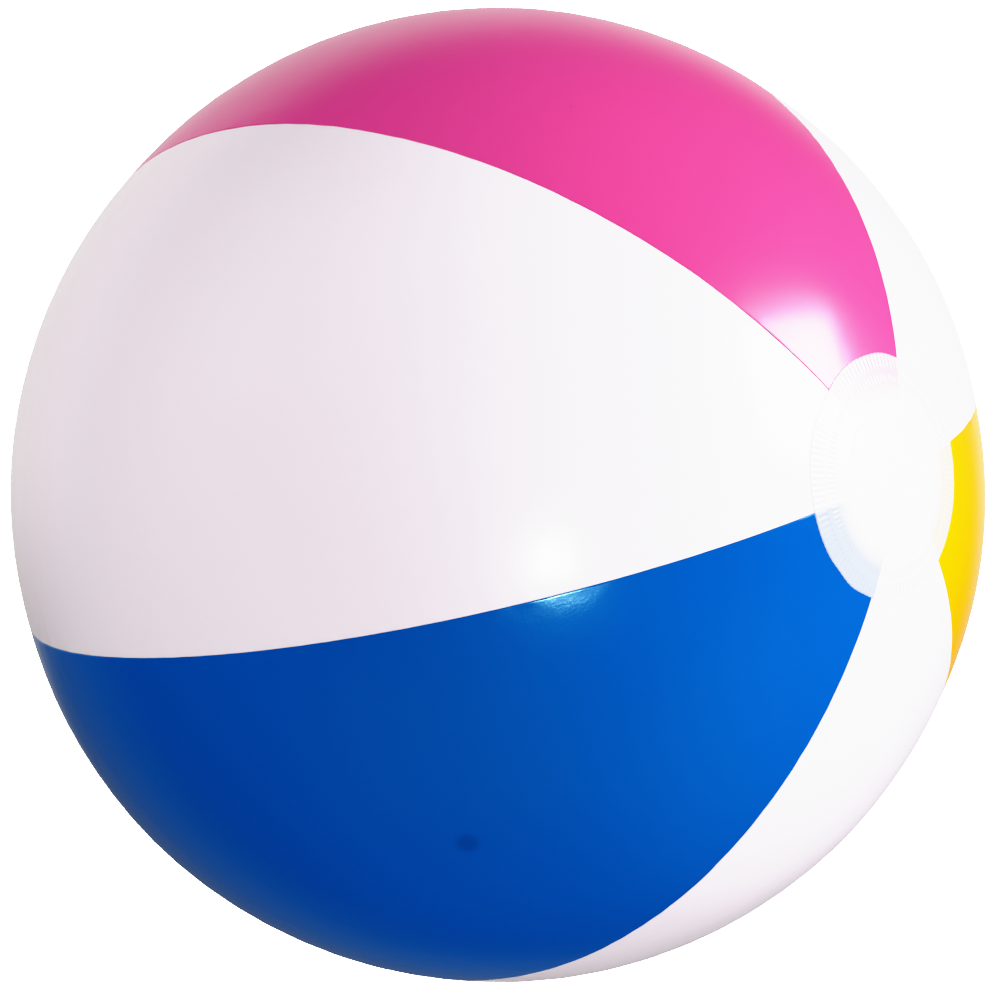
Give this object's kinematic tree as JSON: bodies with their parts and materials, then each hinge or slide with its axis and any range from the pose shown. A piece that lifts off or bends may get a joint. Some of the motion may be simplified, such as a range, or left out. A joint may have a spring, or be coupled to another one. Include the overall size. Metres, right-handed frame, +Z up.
{
  "type": "inflatable beach ball",
  "caption": "Inflated ball of alternating white and coloured film gores with round welded end caps and a recessed inflation valve with a tethered plug.",
  "frame": {"origin": "centre of the inflated ball", "axes": "+X along the line through the two poles, towards the seen end cap; +Z up; the ball rests on a floor at its lowest point, below the origin on -Z"},
  "size_m": [0.4004, 0.4, 0.4],
  "materials": {
    "white_film": "gloss",
    "blue_film": "gloss",
    "yellow_film": "gloss",
    "pink_film": "gloss",
    "cap_film": "gloss",
    "valve_vinyl": "satin",
    "flap_vinyl": "satin"
  },
  "bodies": {
    "shell": {"panel_white_front": "white_film", "panel_blue": "blue_film", "panel_white_lower": "white_film", "panel_yellow": "yellow_film", "panel_white_upper": "white_film", "panel_pink": "pink_film", "end_cap_front": "cap_film", "end_cap_rear": "cap_film", "valve_flange": "valve_vinyl", "valve_bellows": "valve_vinyl"},
    "stem": {"valve_stem": "valve_vinyl", "plug_tether": "valve_vinyl"},
    "plug": {"valve_plug": "valve_vinyl"},
    "flap": {"check_flap": "flap_vinyl"}
  },
  "joints": [
    {"name": "stem_pop", "type": "slide", "parent": "shell", "child": "stem", "axis": [-0.866, -0.4908, 0.0954], "range_m": [0, 0.013], "deforming": ["valve_bellows"]},
    {"name": "plug_pull", "type": "slide", "parent": "stem", "child": "plug", "axis": [-0.866, -0.4908, 0.0954], "range_m": [0, 0.016], "deforming": ["plug_tether"]},
    {"name": "flap_hinge", "type": "hinge", "parent": "stem", "child": "flap", "pos_m": [-0.15868, -0.09605, 0.01867], "axis": [0, -0.1908, -0.9816], "range_deg": [0, 70], "stiffness_Nm_per_rad": 0.0002, "springref_deg": -11.46}
  ]
}
